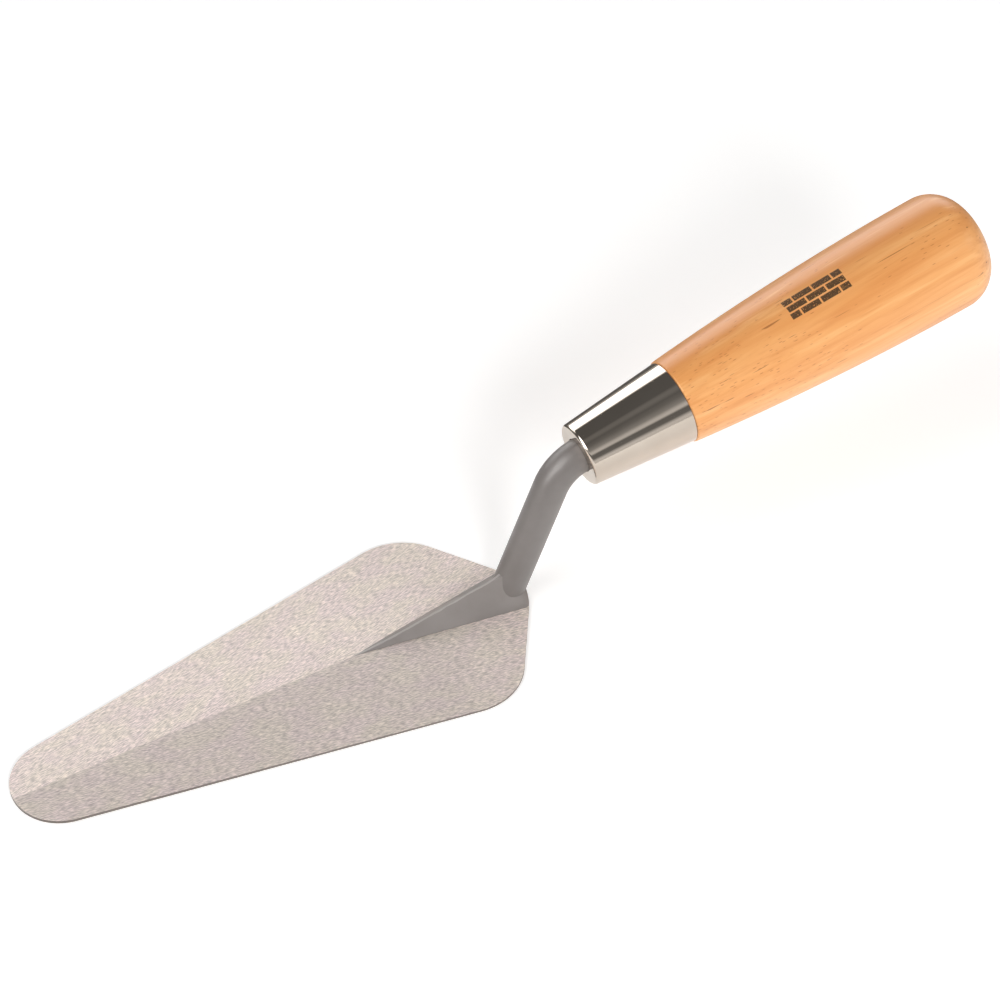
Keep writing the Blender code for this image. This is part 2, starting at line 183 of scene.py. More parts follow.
def arc(centre, radius, start, end, count):
    """Points of an arc in a plane, both ends included."""
    angles = [start + (end - start) * i / count for i in range(count + 1)]
    return [(centre[0] + radius * math.cos(a), centre[1] + radius * math.sin(a)) for a in angles]


def fillet(before, corner, after, radius, count):
    """Points that round one corner of a polyline with an arc of about that radius."""
    corner = Vector(corner)
    to_before = Vector(before) - corner
    to_after = Vector(after) - corner
    half_angle = to_before.angle(to_after, math.pi) / 2
    if radius <= 0 or half_angle > math.radians(89.5):
        return [corner] * (count + 1)
    cut = min(radius / math.tan(half_angle), 0.45 * to_before.length, 0.45 * to_after.length)
    start = corner + to_before.normalized() * cut
    end = corner + to_after.normalized() * cut
    points = []
    for i in range(count + 1):
        t = i / count
        points.append(start * (1 - t) ** 2 + corner * 2 * t * (1 - t) + end * t ** 2)
    return points


def rounded_loop(corners, radii, count):
    """A closed polygon with each corner rounded by its own radius. A corner with None stays sharp."""
    points = []
    total = len(corners)
    for i, (corner, radius) in enumerate(zip(corners, radii)):
        if radius is None:
            points.append(Vector(corner))
        else:
            points += fillet(corners[i - 1], corner, corners[(i + 1) % total], radius, count)
    return points


def smooth_step(value, low, high):
    t = max(0.0, min(1.0, (value - low) / (high - low)))
    return t * t * (3 - 2 * t)


def mesh_object(name, source, material, matrix=None, sharp_angle=30):
    """Finishes a bmesh as a shaded object, placed from the heel."""
    bmesh.ops.recalc_face_normals(source, faces=source.faces)
    mesh = bpy.data.meshes.new(name)
    source.to_mesh(mesh)
    source.free()
    mesh.materials.append(material)
    mesh.shade_smooth()
    mesh.set_sharp_from_angle(angle=math.radians(sharp_angle))
    item = bpy.data.objects.new(name, mesh)
    bpy.context.scene.collection.objects.link(item)
    item.matrix_world = Matrix.Translation(heel) @ (matrix or Matrix.Identity(4))
    return item


def loft(source, rings):
    """Joins rings of equal length into a tube, closed at both ends."""
    made = [[source.verts.new(p) for p in ring] for ring in rings]
    count = len(made[0])
    for near, far in zip(made, made[1:]):
        for i in range(count):
            j = (i + 1) % count
            source.faces.new((near[i], near[j], far[j], far[i]))
    source.faces.new(made[0])
    source.faces.new(made[-1])


def axis_matrix(origin, direction):
    """Places local Z along a direction in the XZ plane."""
    turn = Matrix.Rotation(math.atan2(direction.x, direction.z), 4, "Y")
    return Matrix.Translation(origin) @ turn


def lathe(name, profile, closed, material, matrix):
    """Turns a (radius, height) profile around local Z. An open profile starts and ends on the axis."""
    source = bmesh.new()
    rings = []
    for radius, height in profile:
        if radius < 1e-7:
            rings.append([source.verts.new((0, 0, height))])
            continue
        rings.append([
            source.verts.new((
                radius * math.cos(2 * math.pi * i / TURN_SEGMENTS),
                radius * math.sin(2 * math.pi * i / TURN_SEGMENTS),
                height))
            for i in range(TURN_SEGMENTS)
        ])
    pairs = list(zip(rings, rings[1:]))
    if closed:
        pairs.append((rings[-1], rings[0]))
    for near, far in pairs:
        for i in range(TURN_SEGMENTS):
            j = (i + 1) % TURN_SEGMENTS
            if len(near) == 1:
                source.faces.new((near[0], far[j], far[i]))
            elif len(far) == 1:
                source.faces.new((near[i], near[j], far[0]))
            else:
                source.faces.new((near[i], near[j], far[j], far[i]))
    return mesh_object(name, source, material, matrix, TURN_SHARP_ANGLE)


def stand_for(piece, node):
    """Attaches a detailed piece to the root body and hides its CAD node."""
    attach(piece, "root")
    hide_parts(node)


# ------------------------------------------------------------------------------- shader helpers

class Nodes:
    """Short calls for building one node tree."""

    def __init__(self, tree):
        self.tree = tree

    def add(self, kind, inputs=(), **settings):
        node = self.tree.nodes.new(kind)
        for name, value in settings.items():
            setattr(node, name, value)
        for name, value in dict(inputs).items():
            self.set(node.inputs[name], value)
        return node

    def set(self, socket, value):
        if isinstance(value, bpy.types.NodeSocket):
            self.tree.links.new(value, socket)
        else:
            socket.default_value = value

    def math(self, operation, *values):
        node = self.tree.nodes.new("ShaderNodeMath")
        node.operation = operation
        for socket, value in zip(node.inputs, values):
            self.set(socket, value)
        return node.outputs[0]

    def ramp(self, value, stops):
        """A ramp of greys from (position, grey) stops."""
        node = self.tree.nodes.new("ShaderNodeValToRGB")
        elements = node.color_ramp.elements
        while len(elements) < len(stops):
            elements.new(0.5)
        for element, (position, grey) in zip(elements, stops):
            element.position = position
            element.color = (grey, grey, grey, 1)
        self.set(node.inputs[0], value)
        return node.outputs[0]

    def noise(self, vector, scale, detail=2.0, roughness=0.5, distortion=0.0):
        node = self.add("ShaderNodeTexNoise", {
            "Vector": vector, "Scale": scale, "Detail": detail, "Roughness": roughness,
            "Distortion": distortion})
        return node.outputs["Fac"]

    def stretched(self, vector, scale, rotation=(0, 0, 0)):
        node = self.add("ShaderNodeMapping", {"Vector": vector, "Scale": scale, "Rotation": rotation})
        return node.outputs["Vector"]

    def mix(self, share, first, second, blend="MIX"):
        node = self.tree.nodes.new("ShaderNodeMix")
        node.data_type = "RGBA"
        node.blend_type = blend
        colours = [socket for socket in node.inputs if socket.type == "RGBA"]
        self.set(node.inputs[0], share)
        self.set(colours[0], first if isinstance(first, bpy.types.NodeSocket) else (*first, 1))
        self.set(colours[1], second if isinstance(second, bpy.types.NodeSocket) else (*second, 1))
        return [socket for socket in node.outputs if socket.type == "RGBA"][0]

    def between(self, value, low, high, low_out=0.0, high_out=1.0):
        node = self.add("ShaderNodeMapRange", {
            "Value": value, "From Min": low, "From Max": high, "To Min": low_out, "To Max": high_out})
        node.clamp = True
        return node.outputs[0]

    def bump(self, height, distance, strength):
        node = self.add("ShaderNodeBump", {
            "Height": height, "Distance": distance, "Strength": strength})
        return node.outputs["Normal"]


def new_material(name):
    material = bpy.data.materials.new(name)
    material.use_nodes = True
    nodes = Nodes(material.node_tree)
    shader = material.node_tree.nodes["Principled BSDF"]
    position = nodes.add("ShaderNodeTexCoord").outputs["Object"]
    return material, nodes, shader, position


# ------------------------------------------------------------------------------------ materials

def ground_steel():
    """Blade: short grinding strokes along each side, in faint warm and cool patches.

    Each side of the ridge has its own painted level: painted shade makes the near (-Y) side darker along
    most of the blade and painted light makes it lighter at the heel; the far side is painted lighter, a
    little less so at the heel.
    """
    material, nodes, shader, position = new_material("ground_steel")
    shader.inputs["Metallic"].default_value = 0.3
    split = nodes.add("ShaderNodeSeparateXYZ", {"Vector": position})
    far_side = nodes.math("GREATER_THAN", split.outputs["Y"], 0.0)
    off_ridge = nodes.math("ABSOLUTE", split.outputs["Y"])
    side_offset = nodes.math("MULTIPLY", far_side, 0.7)
    folded = nodes.add("ShaderNodeCombineXYZ", {
        "X": split.outputs["X"], "Y": off_ridge, "Z": side_offset}).outputs[0]
    turned = nodes.stretched(folded, (1, 1, 1), (0, 0, GRIND_ANGLE))
    strokes = nodes.noise(nodes.stretched(turned, (470, 3100, 50)), 1.0, 1.5, 0.6, 0.3)
    fine = nodes.noise(nodes.stretched(turned, (900, 6500, 50)), 1.0, 2.0, 0.6)
    patches = nodes.noise(nodes.stretched(turned, (60, 90, 50)), 1.0, 2.0, 0.5)
    hues = nodes.noise(nodes.stretched(turned, (90, 150, 20)), 1.0, 2.0, 0.5)
    tint = nodes.mix(nodes.between(hues, 0.38, 0.62), (0.715, 0.611, 0.582), (0.715, 0.634, 0.564))
    lift = nodes.between(strokes, 0.36, 0.64, 0.66, 1.21)
    lift = nodes.math("MULTIPLY", lift, nodes.between(fine, 0.35, 0.65, 0.88, 1.10))
    lift = nodes.math("MULTIPLY", lift, nodes.between(patches, 0.3, 0.7, 0.97, 1.03))
    # Painted light and shade: the near side darker, lighter at the heel; the far side lighter, a little
    # less at the heel.
    near_painted_light = nodes.between(split.outputs["X"], -40 * MM, -5 * MM, 0.87, 1.10)
    far_painted_light = nodes.between(split.outputs["X"], -60 * MM, -5 * MM, 1.10, 1.04)
    far_painted_light_extra = nodes.math("MULTIPLY", far_side, nodes.math("SUBTRACT", far_painted_light, near_painted_light))
    lift = nodes.math("MULTIPLY", lift, nodes.math("ADD", near_painted_light, far_painted_light_extra))
    grey = nodes.add("ShaderNodeCombineColor", {"Red": lift, "Green": lift, "Blue": lift}).outputs[0]
    colour = nodes.mix(1.0, tint, grey, "MULTIPLY")
    roof = nodes.math("SUBTRACT", RIDGE_HEIGHT, nodes.math("MULTIPLY", off_ridge, ROOF_SLOPE))
    below = nodes.math("SUBTRACT", roof, split.outputs["Z"])
    cut_edge = nodes.math("MULTIPLY",
                          nodes.math("GREATER_THAN", below, 0.8 * EDGE_BEVEL),
                          nodes.math("GREATER_THAN", split.outputs["Z"], 0.01 * MM))
    colour = nodes.mix(cut_edge, colour, nodes.mix(hues, (0.15, 0.125, 0.11), (0.21, 0.18, 0.16)))
    nodes.set(shader.inputs["Base Color"], colour)
    nodes.set(shader.inputs["Roughness"], nodes.between(strokes, 0.3, 0.7, 0.48, 0.62))
    height = nodes.math("ADD", strokes, fine)
    nodes.set(shader.inputs["Normal"], nodes.bump(height, 0.00002, 0.5))
    return material


def grey_paint(name, shade, crest):
    """Satin grey enamel; its tone is scaled by a factor, and the neck's darker copy is painted shade. On
    the foot, a painted highlight lightens the crest, and painted shade darkens its +Y side.
    """
    material, nodes, shader, position = new_material(name)
    cloud = nodes.noise(position, 90, 3.0, 0.55)
    grain = nodes.noise(position, 1800, 2.0, 0.6)
    dark = [shade * c for c in (0.245, 0.222, 0.209)]
    pale = [shade * c for c in (0.275, 0.250, 0.237)]
    colour = nodes.mix(nodes.between(cloud, 0.35, 0.65), dark, pale)
    if crest:
        split = nodes.add("ShaderNodeSeparateXYZ", {"Vector": position})
        off_crest = nodes.math("ABSOLUTE", split.outputs["Y"])
        # Painted highlight: a patchy lighter strip along the crest, in front of the gusset.
        patchy = nodes.noise(nodes.stretched(position, (260, 900, 200)), 1.0, 2.0, 0.6)
        reach = nodes.between(patchy, 0.3, 0.7, 0.22 * MM, 0.46 * MM)
        painted_crest_highlight = nodes.math("MULTIPLY",
                            nodes.math("LESS_THAN", off_crest, reach),
                            nodes.math("LESS_THAN", split.outputs["X"], GUSSET_END))
        # Painted shade: the foot's +Y side is coloured darker, standing in for shadow on that side.
        behind = nodes.between(split.outputs["Y"], 0.1 * MM, 0.5 * MM, 0.0, 0.6)
        colour = nodes.mix(behind, colour, (0.150, 0.125, 0.108))
        colour = nodes.mix(nodes.math("MULTIPLY", painted_crest_highlight, 0.5), colour, (0.50, 0.465, 0.44))
    nodes.set(shader.inputs["Base Color"], colour)
    nodes.set(shader.inputs["Roughness"], nodes.between(grain, 0.3, 0.7, 0.35, 0.46))
    nodes.set(shader.inputs["Normal"], nodes.bump(grain, 0.00003, 0.5))
    return material


def polished_steel():
    """Ferrule: a mirror finish with faint polishing lines around it."""
    material, nodes, shader, position = new_material("polished_steel")
    shader.inputs["Metallic"].default_value = 1.0
    lines = nodes.noise(nodes.stretched(position, (60, 60, 2600)), 1.0, 2.0, 0.6)
    cloud = nodes.noise(position, 120, 2.0, 0.5)
    colour = nodes.mix(nodes.between(cloud, 0.3, 0.7), (0.555, 0.485, 0.415), (0.585, 0.517, 0.447))
    nodes.set(shader.inputs["Base Color"], colour)
    nodes.set(shader.inputs["Roughness"], nodes.between(lines, 0.3, 0.7, 0.05, 0.10))
    nodes.set(shader.inputs["Normal"], nodes.bump(lines, 0.000004, 0.4))
    return material


def printed_mark(nodes, position):
    """Mask of a small running-bond brick pictogram, printed round the grip: 1 where there is ink."""
    split = nodes.add("ShaderNodeSeparateXYZ", {"Vector": position})
    up = nodes.math("MULTIPLY", split.outputs["X"], -1.0)
    near = nodes.math("MULTIPLY", split.outputs["Y"], -1.0)
    turn = nodes.math("SUBTRACT", nodes.math("ARCTAN2", up, near), MARK_TURN)
    across = nodes.math("MULTIPLY", turn, GRIP_RADIUS)
    along = nodes.math("SUBTRACT", split.outputs["Z"], MARK_DISTANCE)
    inside = nodes.math("MULTIPLY",
                        nodes.math("LESS_THAN", nodes.math("ABSOLUTE", along), MARK_LENGTH / 2),
                        nodes.math("LESS_THAN", nodes.math("ABSOLUTE", across), MARK_WIDTH / 2))
    place = nodes.add("ShaderNodeCombineXYZ", {
        "X": nodes.math("ADD", along, MARK_LENGTH / 2),
        "Y": nodes.math("ADD", across, MARK_WIDTH / 2)}).outputs[0]
    bricks = nodes.add("ShaderNodeTexBrick", {
        "Vector": place, "Scale": 1.0, "Mortar Size": 0.35 * MM, "Mortar Smooth": 0.1,
        "Brick Width": MARK_LENGTH / 3, "Row Height": MARK_WIDTH / 3}, offset=0.5)
    ink = nodes.math("SUBTRACT", 1.0, bricks.outputs["Fac"])
    wear = nodes.between(nodes.noise(position, 2600, 2.0, 0.6), 0.30, 0.40)
    return nodes.math("MULTIPLY", nodes.math("MULTIPLY", ink, inside), wear)


def lacquered_wood():
    """Handle: clear-lacquered wood, with growth rings, fibres, dark flecks, long checks and the mark,
    and a darker band along the top of the grip that is partly grain and partly painted shade.
    """
    material, nodes, shader, position = new_material("lacquered_wood")
    warp = nodes.noise(nodes.stretched(position, (30, 30, 7)), 1.0, 2.0, 0.5)
    split = nodes.add("ShaderNodeSeparateXYZ", {"Vector": position})
    pith_x = nodes.math("ADD", split.outputs["X"], PITH_X)
    pith_y = nodes.math("ADD", split.outputs["Y"], PITH_Y)
    lean = nodes.math("MULTIPLY", split.outputs["Z"], PITH_LEAN)
    pith_x = nodes.math("POWER", nodes.math("ADD", pith_x, lean), 2.0)
    pith_y = nodes.math("POWER", pith_y, 2.0)
    distance = nodes.math("SQRT", nodes.math("ADD", pith_x, pith_y))
    distance = nodes.math("ADD", distance, nodes.math("MULTIPLY", warp, RING_WARP))
    ring = nodes.math("FRACT", nodes.math("MULTIPLY", distance, 1 / RING_WIDTH))
    ring_shade = nodes.ramp(ring, [(0.0, 0.3), (0.15, 0.0), (0.7, 0.3), (0.95, 1.0), (1.0, 0.3)])
    fibres = nodes.noise(nodes.stretched(position, (1300, 1300, 45)), 1.0, 3.0, 0.65)
    streaks = nodes.noise(nodes.stretched(position, (260, 260, 14)), 1.0, 3.0, 0.6)
    broad = nodes.noise(nodes.stretched(position, (70, 70, 12)), 1.0, 2.0, 0.5)
    colour = nodes.mix(nodes.between(broad, 0.35, 0.65), (0.79, 0.340, 0.102), (0.88, 0.436, 0.162))
    # Partly grain and partly painted shade: a darker band along the top of the grip, at a fixed turn
    # round it.
    turn = nodes.math("DEGREES", nodes.math("ARCTAN2",
                                            nodes.math("MULTIPLY", split.outputs["X"], -1.0),
                                            nodes.math("MULTIPLY", split.outputs["Y"], -1.0)))
    turn = nodes.math("ADD", turn, nodes.math("MULTIPLY", warp, 24.0))
    grain_and_painted_shade = nodes.math("MULTIPLY",
                       nodes.between(turn, 84.0, 104.0), nodes.between(turn, 142.0, 122.0, 0.0, 0.8))
    colour = nodes.mix(grain_and_painted_shade, colour, (0.69, 0.275, 0.072))
    colour = nodes.mix(nodes.math("MULTIPLY", ring_shade, 0.30), colour, (0.74, 0.290, 0.078))
    colour = nodes.mix(nodes.between(streaks, 0.52, 0.68, 0.0, 0.7), colour, (0.72, 0.285, 0.080))
    colour = nodes.mix(nodes.between(streaks, 0.46, 0.32, 0.0, 0.7), colour, (0.92, 0.510, 0.210))
    colour = nodes.mix(nodes.between(fibres, 0.52, 0.75, 0.0, 0.4), colour, (0.66, 0.240, 0.065))
    cells = nodes.add("ShaderNodeTexVoronoi", {
        "Vector": nodes.stretched(position, (1500, 1500, 240)), "Scale": 1.0, "Randomness": 1.0})
    chosen = nodes.add("ShaderNodeSeparateColor", {"Color": cells.outputs["Color"]}).outputs["Red"]
    cluster = nodes.noise(nodes.stretched(position, (75, 75, 24)), 1.0, 2.0, 0.5)
    cluster = nodes.math("ADD", cluster, nodes.between(split.outputs["Z"], 0.055, 0.105, 0.11, -0.10))
    threshold = nodes.between(cluster, 0.42, 0.64, 0.985, 0.15)
    fleck = nodes.math("MULTIPLY",
                       nodes.between(cells.outputs["Distance"], 0.22, 0.13),
                       nodes.math("GREATER_THAN", chosen, threshold))
    colour = nodes.mix(nodes.math("MULTIPLY", fleck, 0.65), colour, (0.44, 0.125, 0.032))
    checks = nodes.noise(nodes.stretched(position, (1000, 1000, 11)), 1.0, 1.0, 0.5)
    colour = nodes.mix(nodes.between(checks, 0.715, 0.745, 0.0, 0.75), colour, (0.30, 0.085, 0.020))
    mark = printed_mark(nodes, position)
    colour = nodes.mix(nodes.math("MULTIPLY", mark, 0.93), colour, (0.020, 0.015, 0.008))
    nodes.set(shader.inputs["Base Color"], colour)
    nodes.set(shader.inputs["Roughness"], nodes.between(fibres, 0.3, 0.7, 0.40, 0.50))
    height = nodes.math("SUBTRACT", nodes.math("MULTIPLY", fibres, 0.5), fleck)
    nodes.set(shader.inputs["Normal"], nodes.bump(height, 0.00003, 0.5))
    shader.inputs["Coat Weight"].default_value = 0.35
    shader.inputs["Coat Roughness"].default_value = 0.26
    return material


def epoxy():
    """Hidden adhesive around the tang: amber, with cloudy patches."""
    material, nodes, shader, position = new_material("epoxy")
    cloud = nodes.noise(position, 150, 3.0, 0.6)
    colour = nodes.mix(cloud, (0.50, 0.38, 0.20), (0.62, 0.50, 0.30))
    nodes.set(shader.inputs["Base Color"], colour)
    nodes.set(shader.inputs["Roughness"], nodes.between(cloud, 0.3, 0.7, 0.22, 0.40))
    return material


# --------------------------------------------------------------------------------------- pieces

def heel_arc(count):
    centre_x = HEEL_BULGE - HEEL_ARC_RADIUS
    reach = math.asin(HEEL_HALF / HEEL_ARC_RADIUS)
    return arc((centre_x, 0), HEEL_ARC_RADIUS, 0, reach, count)


def blade_half_outline():
    """The blade's plan from the middle of the heel round the +Y side to the tip."""
    tip = Vector((TIP_RADIUS - BLADE_LENGTH, 0))
    shoulder = Vector((-SHOULDER_SETBACK, BLADE_HALF - SHOULDER_RADIUS))
    along = shoulder - tip
    edge_angle = math.atan2(along.y, along.x)
    edge_angle += math.acos((TIP_RADIUS - SHOULDER_RADIUS) / along.length)
    corner = Vector((0, HEEL_HALF)) - shoulder
    heel_angle = math.atan2(corner.y, corner.x) + math.acos(SHOULDER_RADIUS / corner.length)
    half = heel_arc(16)
    half += arc(shoulder, SHOULDER_RADIUS, heel_angle, edge_angle, 64)
    half += arc(tip, TIP_RADIUS, edge_angle, math.pi, 56)
    return [Vector(p) for p in half]


def inset(points, distance):
    """The same half outline, moved inwards by a distance."""
    moved = []
    for i, point in enumerate(points):
        before = points[i - 1] if i else Vector((point.x, -points[1].y))
        after = points[i + 1] if i + 1 < len(points) else Vector((point.x, -points[-2].y))
        along = (after - before).normalized()
        moved.append(point + Vector((-along.y, along.x)) * distance)
    return moved


def roof_height(y):
    """Height of the blade's upper face."""
    return RIDGE_HEIGHT - ROOF_SLOPE * abs(y)


def make_blade(material):
    """Plate with a shallow roof and small bevels along its edges."""
    outline = blade_half_outline()
    inner = inset(outline, EDGE_BEVEL)
    source = bmesh.new()
    for side in (1, -1):
        levels = []
        for points, lift in ((inner, None), (outline, EDGE_BEVEL), (outline, "wall"), (inner, "roof")):
            ring = []
            for p in points:
                y = max(p.y, 0)
                top = roof_height(y)
                z = {None: 0, "wall": top - EDGE_BEVEL, "roof": top}.get(lift, lift)
                ring.append(source.verts.new((p.x, side * y, z)))
            levels.append(ring)
        for low, high in zip(levels, levels[1:]):
            for i in range(len(low) - 1):
                source.faces.new((low[i], low[i + 1], high[i + 1], high[i]))
        source.faces.new(levels[0])
        source.faces.new(levels[3])
    bmesh.ops.remove_doubles(source, verts=source.verts, dist=0.002 * MM)
    piece = mesh_object("blade_plate", source, material, sharp_angle=0.4)
    stand_for(piece, "blade")


def crest_height(x):
    """Height of the foot's crest, which climbs a little more just in front of the neck."""
    share = max(0, min(1, (x + FOOT_LENGTH) / FOOT_LENGTH))
    rise = FOOT_RISE * (1 - (1 - share ** FOOT_START_POWER) ** FOOT_END_POWER)
    climb = GUSSET_RISE * smooth_step(x, GUSSET_START, GUSSET_END)
    return RIDGE_HEIGHT + rise + climb - HEEL_DROP * smooth_step(x, HEEL_DROP_START, HEEL_BULGE)


def foot_section(x, half):
    """One section of the foot: a narrow crest over two side faces, hollow near the neck."""
    share = min(1, (x + FOOT_LENGTH) / FOOT_LENGTH)
    full_half = HEEL_HALF * share
    wall = FOOT_SIDE_WALL * min(1, 5 * share)
    wall_top = roof_height(full_half) + wall
    crest = max(crest_height(x), wall_top + 0.02 * MM)
    spread = smooth_step(x, GUSSET_START, GUSSET_END)
    crest_half = FOOT_CREST_HALF + (GUSSET_HALF - FOOT_CREST_HALF) * spread
    crest_half = min(crest_half, 0.5 * half)
    power = 1 + HOLLOW_POWER * smooth_step(x, HOLLOW_START, HOLLOW_END)
    face = []
    for i in range(FOOT_FACE_STEPS + 1):
        y = half + (crest_half - half) * i / FOOT_FACE_STEPS
        t = (full_half - y) / max(full_half - crest_half, 0.01 * MM)
        face.append((y, wall_top + (crest - wall_top) * max(0, min(1, t)) ** power))
    seat = roof_height(half)
    undercut = min(FOOT_SEAM, 0.3 * half)
    lip = seat + min(FOOT_SEAM, 0.5 * wall)
    right = [
        (half - undercut, seat - FOOT_SINK),
        (half - undercut, seat + 0.5 * (lip - seat)),
        (half, lip),
    ] + face
    corners = right + [(-y, z) for y, z in reversed(right)]
    heel_soft = 0.7 * MM * smooth_step(full_half - half, 0, 1.0 * MM) + 0.04 * MM
    crest_soft = FOOT_CREST_SOFT * min(1, 2 * share + 0.1)
    radii = [None] * 3 + [heel_soft] + [None] * (FOOT_FACE_STEPS - 1) + [crest_soft]
    loop = rounded_loop(corners, radii + radii[::-1], 4)
    return [(x, p.x, p.y) for p in loop]


def make_foot(material):
    """Spine that grows from a point on the ridge to the heel, with a sharp, softened crest."""
    side = [Vector((-FOOT_LENGTH + FOOT_POINT_INSET, FOOT_POINT_HALF)), Vector((0, HEEL_HALF))]
    heel_points = [Vector(p) for p in reversed(heel_arc(16))]
    corner = fillet(side[0], side[1], heel_points[4], FOOT_CORNER_RADIUS, 8)
    steps = 48
    plan = [side[0].lerp(corner[0], i / steps) for i in range(steps)]
    plan += corner
    plan += [p for p in heel_points if p.x > corner[-1].x + 0.02 * MM]
    plan[-1] = Vector((HEEL_BULGE, 0.8 * MM))
    source = bmesh.new()
    loft(source, [foot_section(p.x, p.y) for p in plan])
    piece = mesh_object("foot_spine", source, material, sharp_angle=40)
    stand_for(piece, "foot")


def ring_on_path(centre, direction, width, squareness, count=64):
    """A round (0) to square (1) section across a path in the XZ plane."""
    across = Vector((0, 1, 0))
    up = Vector((-direction.z, 0, direction.x))
    points = []
    for i in range(count):
        a = 2 * math.pi * i / count
        c, s = math.cos(a), math.sin(a)
        stretch = 1 + squareness * (1 / max(abs(c), abs(s)) - 1)
        points.append(centre + (across * c + up * s) * (width / 2 * stretch))
    return points


def make_neck(material):
    """Round bar from inside the foot through its bend, and the square tang inside the handle."""
    stations = [(NECK_BASE + NECK_DIRECTION * NECK_START, NECK_DIRECTION)]
    stations.append((BEND_START, NECK_DIRECTION))
    bend_steps = 40
    for i in range(1, bend_steps + 1):
        angle = NECK_ANGLE + (HANDLE_TILT - NECK_ANGLE) * i / bend_steps
        direction = Vector((math.cos(angle), 0, math.sin(angle)))
        centre = BEND_CENTRE + Vector((-direction.z, 0, direction.x)) * BEND_RADIUS
        stations.append((centre, direction))
    rings = [ring_on_path(p, d, 2 * NECK_RADIUS, 0) for p, d in stations]
    for distance, width, squareness in (
            (FERRULE_WALL, 2 * NECK_RADIUS, 0),
            (FERRULE_WALL, TANG_WIDTH, 1),
            (TANG_END, TANG_END_WIDTH, 1)):
        centre = FERRULE_FRONT + HANDLE_DIRECTION * distance
        rings.append(ring_on_path(centre, HANDLE_DIRECTION, width, squareness))
    source = bmesh.new()
    loft(source, rings)
    piece = mesh_object("neck_bar", source, material, sharp_angle=40)
    stand_for(piece, "neck")


def make_ferrule(material):
    """Pressed cup with a rolled front edge and a hole for the neck."""
    taper = (FERRULE_BACK_RADIUS - FERRULE_FRONT_RADIUS) / FERRULE_LENGTH
    edge = FERRULE_EDGE_RADIUS
    back = FERRULE_LENGTH - 0.05 * MM
    lip = 0.25 * MM
    hole = 0.45 * MM
    inner_front = FERRULE_FRONT_RADIUS + taper * FERRULE_WALL - FERRULE_WALL
    profile = arc((FERRULE_BACK_RADIUS - lip, back - lip), lip, math.pi / 2, 0, 4)
    tilt = math.atan(taper)
    profile += arc((FERRULE_FRONT_RADIUS - edge, edge), edge, -tilt, -math.pi / 2, 12)
    profile += arc((FERRULE_HOLE_RADIUS + hole, hole), hole, -math.pi / 2, -math.pi, 6)
    profile += [
        (FERRULE_HOLE_RADIUS, FERRULE_WALL),
        (inner_front, FERRULE_WALL),
        (FERRULE_BACK_RADIUS - FERRULE_WALL, back),
    ]
    matrix = axis_matrix(FERRULE_FRONT, HANDLE_DIRECTION)
    piece = lathe("ferrule_cup", profile, True, material, matrix)
    stand_for(piece, "ferrule")


def wood_radius(distance):
    """Radius of the grip at a distance from its shoulder."""
    share = min(1, distance / (WOOD_LENGTH - END_ROUNDING))
    swell = 1 - (1 - share) ** SWELL_POWER
    return WOOD_SHOULDER_RADIUS + (GRIP_RADIUS - WOOD_SHOULDER_RADIUS) * swell


def make_handle(material):
    """Turned grip with a softened shoulder, rounded butt, tenon and blind bore."""
    butt_radius = GRIP_RADIUS - END_ROUNDING
    round_start = WOOD_LENGTH - END_ROUNDING - BUTT_DOME
    outside = [
        (butt_radius * share, WOOD_LENGTH - BUTT_DOME * share ** 2)
        for share in (0, 0.2, 0.4, 0.6, 0.8, 0.92)
    ]
    outside += [
        (butt_radius + END_ROUNDING * math.sin(a), round_start + END_ROUNDING * math.cos(a))
        for a in (math.radians(7.5 + 82.5 * i / 16) for i in range(17))
    ]
    steps = 48
    outside += [
        (wood_radius(round_start * i / steps), round_start * i / steps)
        for i in range(steps - 1, 0, -1)
    ]
    soft = 0.45 * MM
    outside += arc((WOOD_SHOULDER_RADIUS - soft, soft), soft, 0, -math.pi / 2, 5)
    profile = [(r, FERRULE_LENGTH + d) for r, d in outside]
    profile += [
        (FERRULE_BACK_RADIUS - SLEEVE, FERRULE_LENGTH),
        (FERRULE_FRONT_RADIUS - SLEEVE, SLEEVE),
        (BORE_RADIUS, SLEEVE),
        (BORE_RADIUS, SLEEVE + BORE_DEPTH),
        (0, SLEEVE + BORE_DEPTH),
    ]
    matrix = axis_matrix(FERRULE_FRONT, HANDLE_DIRECTION)
    piece = lathe("handle_grip", profile, False, material, matrix)
    stand_for(piece, "handle")


# --------------------------------------------------------------------------------------- studio

def make_floor():
    material, nodes, shader, position = new_material("pale_floor")
    cloud = nodes.noise(position, 3, 2.0, 0.5)
    nodes.set(shader.inputs["Base Color"], nodes.mix(cloud, (0.90, 0.895, 0.89), (0.91, 0.905, 0.90)))
    shader.inputs["Roughness"].default_value = 0.9
    shader.inputs["Specular IOR Level"].default_value = 0.0
    shader.inputs["Emission Color"].default_value = (1.0, 0.995, 0.99, 1)
    shader.inputs["Emission Strength"].default_value = 0.32
    mesh = bpy.data.meshes.new("floor")
    half = FLOOR_HALF
    corners = [(-half, -half, 0), (half, -half, 0), (half, half, 0), (-half, half, 0)]
    mesh.from_pydata(corners, [], [(0, 1, 2, 3)])
    mesh.materials.append(material)
    floor = bpy.data.objects.new("floor", mesh)
    bpy.context.scene.collection.objects.link(floor)
    floor.location.z = cad_low.z - FLOOR_GAP


